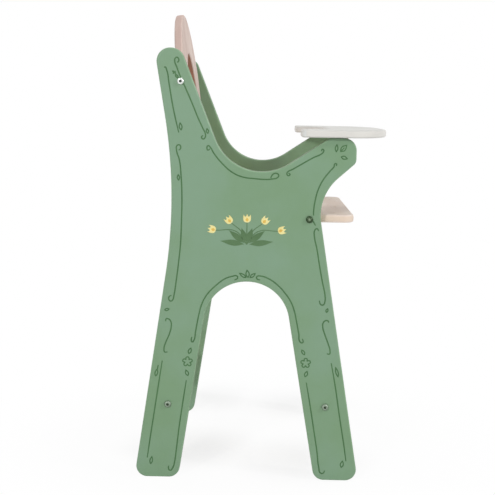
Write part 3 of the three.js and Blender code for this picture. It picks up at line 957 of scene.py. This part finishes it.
def crossbarBoard(name, material):
    look = crossbars
    x, z = fastenings["bolts"][name]
    across, up, radius = look["halfWidth"], look["halfHeight"], look["cornerRadius"]
    corners = [(x * across, y * up, radius) for x, y in ((-1, -1), (1, -1), (1, 1), (-1, 1))]
    board = plate(f"{name}_board", roundedOutline(corners), look["thickness"])
    easeEdges(board, look["ease"])
    placeMesh(board, shift(x=x - look["thickness"] / 2, z=z) @ acrossUpright)
    nutSide = look["nutSide"][name]
    faceX = x + nutSide * look["thickness"] / 2
    drill(board, endHoles(name) + nutHoles(faceX, z, inwardsX=-nutSide))
    smoothShading(board)
    finishPiece(board, material, [name])


crossbarWood = woodMaterial("crossbarWood", stainedWood, (1, 0, 0), (0, 0, quarterTurn))
for name in crossbars["nutSide"]:
    crossbarBoard(name, crossbarWood)
print("crossbars")

# Bolts, modelled once with the head upwards and its underside at z = 0

bolt = {
    "headRadius": 3.7,
    "rim": 0.7,
    # (radius, height) up the dome, to the flat crown round the socket
    "dome": [(3.5, 1.15), (3.1, 1.6), (2.6, 1.98), (2.1, 2.2)],
    "socketSides": 6,
    "socketAcross": 2.8,
    "socketDepth": 1.5,
    "socketMargin": 0.1,  # from the crown and the head's underside, for faces of the socket
    "shankRadius": 2,
    "tip": -37.3,
    "tipChamfer": 0.7,
    "seatGap": 0.3,
    # steel and the record's slot
    "finishes": {
        "backrest": ("bright", "bright_steel"),
        "seat": ("bronzed", "dark_steel"),
        "rear_crossbar": ("shadedBright", "bright_steel"),
        "front_crossbar": ("shadedBright", "bright_steel"),
    },
}


# Selects the lowest or highest face of a piece and leaves it in edit mode. Of equally low faces the
# first is taken. Below the head that is one of the ring, so the bolts' shanks are thin slivers.
def selectEnd(piece, lowest):
    bpy.ops.object.mode_set(mode="OBJECT")
    pick = min if lowest else max
    end = pick(piece.data.polygons, key=lambda face: face.center.z)
    for item in (*piece.data.vertices, *piece.data.edges, *piece.data.polygons):
        item.select = False
    end.select = True
    bpy.ops.object.mode_set(mode="EDIT")
    bpy.ops.mesh.select_mode(type="FACE")


# Extrudes a round end face to a new height and radius
def drawEnd(piece, rise, ratio, lowest=False):
    selectEnd(piece, lowest)
    bpy.ops.mesh.extrude_region_move(TRANSFORM_OT_translate={"value": (0, 0, rise * mm)})
    bpy.ops.transform.resize(value=(ratio, ratio, 1), center_override=(0, 0, 0))
    bpy.ops.object.mode_set(mode="OBJECT")


def boltMaster():
    look = bolt
    radius, height = look["headRadius"], look["rim"]
    bpy.ops.object.select_all(action="DESELECT")
    bpy.ops.mesh.primitive_cylinder_add(vertices=roundSides, radius=radius * mm, depth=height * mm,
                                        location=(0, 0, height / 2 * mm))
    master = bpy.context.object
    bpy.ops.object.transform_apply(location=True, rotation=False, scale=False)
    for nextRadius, nextHeight in look["dome"]:
        drawEnd(master, nextHeight - height, nextRadius / radius)
        radius, height = nextRadius, nextHeight
    drawEnd(master, 0, look["shankRadius"] / look["headRadius"], lowest=True)
    drawEnd(master, look["tip"] + look["tipChamfer"], 1, lowest=True)
    drawEnd(master, -look["tipChamfer"], 1 - look["tipChamfer"] / look["shankRadius"], lowest=True)
    socketRadius = look["socketAcross"] / 2 / math.cos(math.pi / look["socketSides"])
    middle = height + cutPast / 2 - look["socketDepth"] / 2
    bpy.ops.mesh.primitive_cylinder_add(
        vertices=look["socketSides"], radius=socketRadius * mm,
        depth=(look["socketDepth"] + cutPast) * mm, location=(0, 0, middle * mm))
    subtract(master, bpy.context.object)
    smoothShading(master, shadeAngles["fastener"])

    def inSocket(face):
        x, y, z = face.center / mm
        low, high = look["socketMargin"], height - look["socketMargin"]
        return math.hypot(x, y) < socketRadius and low < z < high

    twoMaterials(master, None, None, inSocket)
    return master


def copyOf(master, name):
    makeActive(master)
    bpy.ops.object.duplicate()
    copy = bpy.context.object
    copy.name = name
    return copy


def placeBolts(boltSteels):
    master = boltMaster()
    for sideName, side in sides.items():
        headY = side * (sidePanel["outerY"] + bolt["seatGap"])
        for name, (x, z) in fastenings["bolts"].items():
            piece = copyOf(master, f"{name}_{sideName}_screw")
            placeMesh(piece, shift(x, headY, z) @ turn(-side * quarterTurn, "X"))
            steel, slot = bolt["finishes"][name]
            piece.data.materials[0] = boltSteels[steel]
            piece.data.materials[1] = boltSteels[f"{steel}Socket"]
            finishPiece(piece, None, [f"{name}_bolt_{sideName}"])
    removePiece(master)


boltSteels = {name: steelMaterial(name) for name in steels}
placeBolts(boltSteels)
print("bolts")

# Barrel nuts, modelled once with the slotted end upwards and the thread's hole along Y

barrelNut = {
    "radius": 4,
    "length": 6.9,
    "chamfer": 0.35,
    "chamferSteps": 2,
    "threadHole": 4.6,
    "threadBelowMiddle": 0.3,
    "slotWidth": 1,
    "slotDepth": 0.8,
    "cutterLength": 12,  # right through the nut
    "recess": 0.5,
}


def nutMaster():
    look = barrelNut
    bpy.ops.object.select_all(action="DESELECT")
    bpy.ops.mesh.primitive_cylinder_add(vertices=roundSides, radius=look["radius"] * mm,
                                        depth=look["length"] * mm)
    master = bpy.context.object
    applyModifier(master, "BEVEL", width=look["chamfer"] * mm, segments=look["chamferSteps"],
                  limit_method="ANGLE", angle_limit=sharpAngle)
    slotSize = (look["slotWidth"], look["cutterLength"], 2 * look["slotDepth"])
    bpy.ops.mesh.primitive_cube_add(size=1, location=(0, 0, look["length"] / 2 * mm),
                                    scale=[length * mm for length in slotSize])
    slot = bpy.context.object
    bpy.ops.object.transform_apply(location=True, rotation=True, scale=True)
    subtract(master, slot)
    reach, low = look["cutterLength"] / 2, -look["threadBelowMiddle"]
    drill(master, [(look["threadHole"], (0, -reach, low), (0, reach, low))])
    smoothShading(master, shadeAngles["fastener"])
    return master


def placeNuts(material):
    look = barrelNut
    master = nutMaster()
    depth = look["recess"] + look["length"] / 2  # of a nut's middle below its board's face
    down = turn(2 * quarterTurn, "X")
    backwards = turn(-quarterTurn, "Y")
    forwards = turn(quarterTurn, "Y")
    seatX = fastenings["bolts"]["seat"][0]
    rearX, rearZ = fastenings["bolts"]["rear_crossbar"]
    frontX, frontZ = fastenings["bolts"]["front_crossbar"]
    halfBar = crossbars["thickness"] / 2
    inBackrest = depth - backrest["thickness"]
    for sideName, side in sides.items():
        y = side * fastenings["nutY"]
        places = {
            "backrest": leaning @ shift(inBackrest, y, backrest["boltHeight"]) @ backwards,
            "seat": shift(seatX, y, seat["underside"] + depth) @ down,
            "rear_crossbar": shift(rearX + halfBar - depth, y, rearZ) @ forwards,
            "front_crossbar": shift(frontX - halfBar + depth, y, frontZ) @ backwards,
        }
        for name, matrix in places.items():
            piece = copyOf(master, f"{name}_{sideName}_barrel")
            placeMesh(piece, matrix)
            finishPiece(piece, material, [f"{name}_nut_{sideName}"])
    removePiece(master)


placeNuts(boltSteels["bright"])
print("barrel nuts")

# Dowels keep their CAD shape and get bare beech

beech = dict(stainedWood, light=(214, 184, 140), dark=(196, 162, 116), pores=(160, 122, 82),
             edge=(224, 198, 158), wall=(208, 176, 130))
dowelWood = woodMaterial("dowelBeech", beech, (0, 1, 0), (0, 0, quarterTurn))
for name, node in nodes.items():
    if "dowel" in name:
        node.data.materials.clear()
        node.data.materials.append(dowelWood)
print("dowels")

# Printed border, drawn in x and z on a panel's outer face

borderInk = {
    "lineRadius": 0.76,
    "leafLineRadius": 0.66,
    "flatten": 0.2,  # a line's thickness for its width
    "endShare": 0.75,  # of a line's width, at its ends
    "curveSteps": 6,
    "roundSteps": 2,
    "leafFill": 0.8,  # width left for a leaf, for its thick line
    "leafBelly": 0.42,  # where a leaf is widest, as a share from its foot
    "veinShare": 0.62,  # of a wide leaf, from its foot
    "veinFrom": 5,
    "colour": (62, 104, 60),
    "cloudColour": (73, 115, 69),
    "flowers": [(-79.5, 129.2), (47.3, 130.0)],
    "flowerRadius": 5.2,
    "petals": 5,
    "petalShape": (1.0, 0.9, 0.52, 0.9),  # shares of the radius round one petal
    "petalNotch": 2,  # which of them is its sharp notch
    "lines": {
        "backEdge": [(-106.4, 440.2), (-105.8, 440.9), (-103.8, 437.8), (-101.5, 425.3),
                     (-97.8, 404.0), (-94.5, 388.6), (-90.8, 373.6)],
        "backScroll": [(-90.7, 355.1), (-88.7, 357.4), (-90.0, 360.8), (-92.6, 359.9), (-93.0, 355.4),
                       (-89.9, 345.0), (-88.1, 329.3), (-87.0, 308.3), (-87.2, 281.8), (-88.1, 255.2),
                       (-89.5, 240.5), (-92.5, 214.9), (-94.5, 201.4), (-95.8, 196.2), (-98.1, 194.8),
                       (-100.1, 197.2), (-99.4, 200.0), (-97.2, 200.9)],
        "topCross": [(-94.4, 436.7), (-95.8, 435.7), (-97.4, 434.1)],
        "topLobe": [(-93.2, 445.8), (-91.9, 446.6), (-91.4, 448.8), (-92.9, 450.9), (-95.1, 450.0),
                    (-95.6, 447.0), (-93.5, 441.3), (-90.0, 432.3), (-82.9, 417.1), (-75.9, 401.3),
                    (-70.5, 388.4), (-65.4, 377.9), (-63.0, 372.8), (-63.3, 368.9), (-65.3, 367.3),
                    (-67.0, 369.4), (-65.4, 371.1)],
        "dip": [(-58.0, 357.3), (-60.0, 355.9), (-61.2, 357.9), (-60.0, 360.5), (-58.0, 359.2),
                (-54.0, 352.8), (-44.7, 341.8), (-34.1, 332.9), (-23.5, 328.4), (-10.4, 326.8),
                (-1.2, 326.2), (7.9, 326.8), (13.2, 328.4), (14.4, 330.8), (12.4, 332.7),
                (9.1, 332.3), (6.8, 329.6), (6.2, 327.6)],
        "arm": [(24.6, 333.3), (26.2, 331.9), (24.6, 330.6), (22.9, 332.3), (23.8, 334.5),
                (28.7, 337.2), (39.0, 343.3), (50.6, 350.0), (57.7, 353.3), (60.6, 356.0),
                (60.8, 358.0), (59.2, 358.6), (58.6, 356.6)],
        "underArm": [(74.4, 341.5), (74.6, 343.6), (72.9, 343.8), (72.1, 340.9), (67.9, 335.9),
                     (61.0, 326.7), (56.0, 316.1), (53.3, 305.5), (51.9, 294.9), (51.8, 289.0)],
        "seatTick": [(50.9, 284.3), (52.4, 281.6), (54.3, 278.5)],
        "frontScroll": [(57.8, 272.8), (55.8, 275.2), (53.5, 273.2), (53.3, 267.2), (56.3, 253.9),
                        (59.4, 236.6), (63.1, 217.9), (66.1, 204.5), (66.3, 197.8), (64.4, 193.7),
                        (61.7, 194.3), (60.3, 198.3)],
        "frontWave": [(70.9, 174.6), (70.2, 176.4), (67.5, 176.8), (64.9, 174.1), (64.6, 169.9),
                      (67.2, 161.2), (70.8, 151.7), (73.0, 144.3), (72.5, 140.5), (69.8, 140.7)],
        "frontLeg": [(74.7, 130.6), (79.4, 106.6), (85.8, 68.0), (90.7, 40.2), (93.5, 22.0)],
        "archRear": [(-30.4, 218.8), (-27.1, 220.9), (-27.8, 223.2), (-32.5, 222.8), (-40.4, 220.0),
                     (-50.9, 211.7), (-58.8, 203.4), (-64.7, 192.5), (-67.9, 180.3), (-71.1, 162.5),
                     (-73.0, 152.3), (-74.6, 150.8), (-75.7, 153.5), (-75.0, 156.3)],
        "archFront": [(-3.2, 219.3), (-6.5, 220.6), (-6.6, 223.0), (-2.7, 223.6), (6.0, 220.8),
                      (15.5, 214.3), (23.6, 205.7), (29.7, 197.0), (34.0, 186.3), (37.0, 172.8),
                      (39.2, 162.0), (41.4, 152.5), (43.7, 152.5), (43.3, 156.6)],
        "rearLegInner": [(-80.6, 108.6), (-83.8, 86.6), (-88.3, 53.1), (-90.8, 30.6), (-92.7, 16.5),
                         (-94.7, 10.2), (-97.4, 7.7), (-99.2, 10.7), (-98.8, 12.9)],
        "frontLegInner": [(48.5, 108.7), (53.1, 83.9), (57.8, 56.2), (61.8, 32.5), (64.3, 14.3),
                          (66.4, 8.1), (69.2, 8.1), (70.7, 11.0)],
        "rearWave": [(-103.3, 172.8), (-102.6, 175.5), (-99.9, 175.3), (-97.5, 172.2), (-97.2, 167.4),
                     (-99.1, 159.2), (-103.1, 149.6), (-104.8, 142.7), (-104.0, 139.3),
                     (-101.0, 139.3)],
        "rearLegTick": [(-111.8, 120.2), (-111.4, 122.4), (-110.9, 124.7)],
        "rearLeg": [(-106.6, 129.7), (-110.2, 105.5), (-115.5, 69.3), (-120.0, 38.4), (-122.3, 21.5)],
    },
    # outlined leaves: foot, tip and width
    "leaves": [
        ((-88.3, 376.2), (-89.6, 383.9), 3.6), ((-90.6, 323.8), (-91.0, 329.9), 2.9),
        ((-97.8, 437.0), (-94.3, 434.6), 1.3), ((-94.9, 433.6), (-91.5, 429.5), 2.3),
        ((-60.4, 373.2), (-61.4, 378.3), 2.9), ((74.0, 356.3), (74.4, 364.0), 3.4),
        ((78.4, 356.6), (84.8, 363.4), 5.7), ((79.2, 351.2), (85.9, 349.2), 3.8),
        ((68.1, 185.7), (69.3, 189.9), 2.7), ((82.6, 115.4), (79.4, 126.2), 3.2),
        ((88.6, 14.8), (89.9, 22.4), 4.0), ((-15.9, 221.7), (-17.2, 229.8), 4.4),
        ((-17.9, 221.6), (-25.3, 226.3), 3.4), ((-13.9, 221.7), (-8.2, 226.3), 3.4),
        ((-78.2, 137.9), (-75.9, 144.3), 3.8), ((-78.8, 113.7), (-81.2, 120.1), 3.8),
        ((46.0, 139.1), (42.8, 144.5), 3.4), ((47.0, 115.0), (49.2, 121.2), 3.8),
        ((-104.4, 185.1), (-99.5, 186.2), 2.9), ((-113.7, 112.4), (-112.0, 120.6), 3.6),
        ((-118.6, 14.5), (-117.2, 23.0), 3.4),
    ],
}


inkCoat = {
    "cloudSize": 60.0,
    "skinSize": 850.0,
    "skinDepth": 0.04,
    "roughness": 0.5,
}


def inkMaterial(name, look):
    material, tree, shader, place = newMaterial(name, Roughness=inkCoat["roughness"])
    cloud, skin = placeCoat(tree, place, inkCoat)
    colour = blendColours(tree, cloud, look["colour"], look["cloudColour"])
    tree.links.new(colour, shader.inputs["Base Color"])
    bumpFrom(tree, shader, skin, inkCoat["skinDepth"])
    return material


# A mesh of curves in X and Y, each (points, closed, end width, sharp points)
def curveMesh(name, splines, **settings):
    bpy.ops.object.select_all(action="DESELECT")
    bpy.ops.curve.primitive_bezier_curve_add()
    curve = bpy.context.object
    curve.name = name
    curve.data.splines.clear()
    for setting, value in settings.items():
        setattr(curve.data, setting, value)
    for points, closed, endShare, sharp in splines:
        spline = curve.data.splines.new("BEZIER")
        spline.bezier_points.add(len(points) - 1)
        spline.use_cyclic_u = closed
        for index, ((x, y), knot) in enumerate(zip(points, spline.bezier_points)):
            knot.co = (x * mm, y * mm, 0)
            knot.handle_left_type = knot.handle_right_type = "VECTOR" if index in sharp else "AUTO"
        spline.bezier_points[0].radius = spline.bezier_points[-1].radius = endShare
    makeActive(curve)
    bpy.ops.object.convert(target="MESH")
    return bpy.context.object


def inkLines(name, splines, radius):
    look = borderInk
    return curveMesh(name, splines, dimensions="3D", resolution_u=look["curveSteps"],
                     bevel_depth=radius * mm, bevel_resolution=look["roundSteps"], use_fill_caps=True)


def openLine(points):
    return points, False, borderInk["endShare"], ()


def leafLine(foot, tip, width):
    look = borderInk
    start, end = Vector(foot), Vector(tip)
    run = end - start
    sideways = Vector((-run.y, run.x)).normalized() * width * look["leafFill"] / 2
    belly = start + run * look["leafBelly"]
    points = [tuple(point) for point in (start, belly + sideways, end, belly - sideways)]
    return points, True, 1.0, (0, 2)


def flowerLine(centre):
    look = borderInk
    shape = look["petalShape"] * look["petals"]
    points = []
    for index, share in enumerate(shape):
        angle = quarterTurn + index * 2 * math.pi / len(shape)
        reach = look["flowerRadius"] * share
        points.append((centre[0] + reach * math.cos(angle), centre[1] + reach * math.sin(angle)))
    return points, True, 1.0, range(look["petalNotch"], len(shape), len(look["petalShape"]))


def borderPrint(sideName, side, material):
    look = borderInk
    lines = [openLine(points) for points in look["lines"].values()]
    for foot, tip, width in look["leaves"]:
        if width > look["veinFrom"]:
            end = Vector(foot).lerp(Vector(tip), look["veinShare"])
            lines.append(openLine([foot, tuple(end)]))
    closed = [leafLine(*leaf) for leaf in look["leaves"]]
    closed += [flowerLine(centre) for centre in look["flowers"]]
    drawn = [inkLines("lines", lines, look["lineRadius"]),
             inkLines("leavesAndFlowers", closed, look["leafLineRadius"])]
    piece = joined(drawn, f"{sideName}_border_print")
    flat = Matrix.Diagonal((1, 1, look["flatten"], 1))
    placeMesh(piece, shift(y=side * sidePanel["outerY"]) @ turn(quarterTurn, "X") @ flat)
    faceOutwards(piece)
    smoothShading(piece, shadeAngles["border"])
    finishPiece(piece, material, [])


borderGreen = inkMaterial("borderGreen", borderInk)
for sideName, side in sides.items():
    borderPrint(sideName, side, borderGreen)
print("border print")

# The posy in the middle of each panel: tulips on a fan of stems, a plain motif of its own

posy = {
    "foot": (-18, 257),
    "angles": [-66, -36, 0, 36, 66],  # of the stems, from straight up
    "lengths": [36, 28, 23.5, 28, 36],
    "stemRadius": 0.5,
    "stemRise": 0.06,
    "stemBend": 0.6,  # share of its lean that a stem has half way up
    "bloomLean": 1.15,  # of a bloom, for its stem's lean
    "heartRise": 0.06,
    "bladeAngles": [-83, -52, -18, 18, 52, 83],
    "bladeLengths": [26, 22, 16, 16, 22, 26],
    "bladeStart": 2.4,  # from the foot
    "bladeWidth": 6.2,
    "proud": 0.12,
    "curveSteps": 8,
    "weld": 0.001,
    "inks": {
        "leafColour": {"colour": (78, 113, 70), "cloudColour": (88, 122, 80)},
        "petalColour": {"colour": (250, 239, 172), "cloudColour": (246, 229, 148)},
        "heartColour": {"colour": (238, 202, 98), "cloudColour": (228, 184, 82)},
    },
    # outlines with their foot at the origin; the last number says if the point is sharp
    "tulip": [
        (0, 0, 0), (3.1, 1.2, 0), (4.0, 4.4, 0), (3.6, 8.4, 1), (1.9, 6.2, 0), (0, 8.9, 1),
        (-1.9, 6.2, 0), (-3.6, 8.4, 1), (-4.0, 4.4, 0), (-3.1, 1.2, 0),
    ],
    "heart": [(0, 0.7, 1), (1.5, 2.6, 0), (0, 5.2, 1), (-1.5, 2.6, 0)],
    "blade": [(0, 0, 1), (0.5, 0.42, 0), (0, 1, 1), (-0.5, 0.42, 0)],
}


# A flat filled shape in X and Y that stands proud to both sides
def inkShape(name, outline):
    points = [(x, y) for x, y, _ in outline]
    sharp = [index for index, (_, _, isSharp) in enumerate(outline) if isSharp]
    shape = curveMesh(name, [(points, True, 1.0, sharp)], dimensions="2D", fill_mode="BOTH",
                      resolution_u=posy["curveSteps"], extrude=posy["proud"] * mm)
    bpy.ops.object.mode_set(mode="EDIT")
    bpy.ops.mesh.select_all(action="SELECT")
    bpy.ops.mesh.remove_doubles(threshold=posy["weld"] * mm)
    bpy.ops.object.mode_set(mode="OBJECT")
    faceOutwards(shape)
    return shape


def posyPrint(sideName, side, inks):
    look = posy
    foot = Vector(look["foot"])
    stems, leaves, petals, hearts = [], [], [], []
    for angle, length in zip(look["angles"], look["lengths"]):
        lean = math.radians(angle)
        bend = lean * look["stemBend"]
        middle = foot + Vector((math.sin(bend), math.cos(bend))) * length / 2
        top = foot + Vector((math.sin(lean), math.cos(lean))) * length
        stems.append(openLine([tuple(foot), tuple(middle), tuple(top)]))
        for shapes, outline, rise in ((petals, "tulip", 0), (hearts, "heart", look["heartRise"])):
            shape = inkShape("bloom", look[outline])
            placeMesh(shape, shift(top.x, top.y, rise) @ turn(-lean * look["bloomLean"], "Z"))
            shapes.append(shape)
    for angle, length in zip(look["bladeAngles"], look["bladeLengths"]):
        outline = [(x * look["bladeWidth"], y * length, sharp) for x, y, sharp in look["blade"]]
        shape = inkShape("blade", outline)
        fanned = shift(foot.x, foot.y) @ turn(-math.radians(angle), "Z")
        placeMesh(shape, fanned @ shift(y=look["bladeStart"]))
        leaves.append(shape)
    drawn = inkLines("stems", stems, look["stemRadius"])
    placeMesh(drawn, shift(z=look["stemRise"]) @ Matrix.Diagonal((1, 1, borderInk["flatten"], 1)))
    leaves.append(drawn)
    upright = turn(quarterTurn, "X")
    if side > 0:  # the raised side of the print has to face outwards on the left too
        upright = upright @ Matrix.Diagonal((1, 1, -1, 1))
    for shapes, part, ink in ((leaves, "leaves", "leafColour"), (petals, "petals", "petalColour"),
                              (hearts, "hearts", "heartColour")):
        piece = joined(shapes, f"{sideName}_posy_{part}")
        placeMesh(piece, shift(y=side * sidePanel["outerY"]) @ upright)
        faceOutwards(piece)
        smoothShading(piece, shadeAngles["posy"])
        finishPiece(piece, inks[ink], [])


posyInks = {name: inkMaterial(name, look) for name, look in posy["inks"].items()}
for sideName, side in sides.items():
    posyPrint(sideName, side, posyInks)
print("posies")
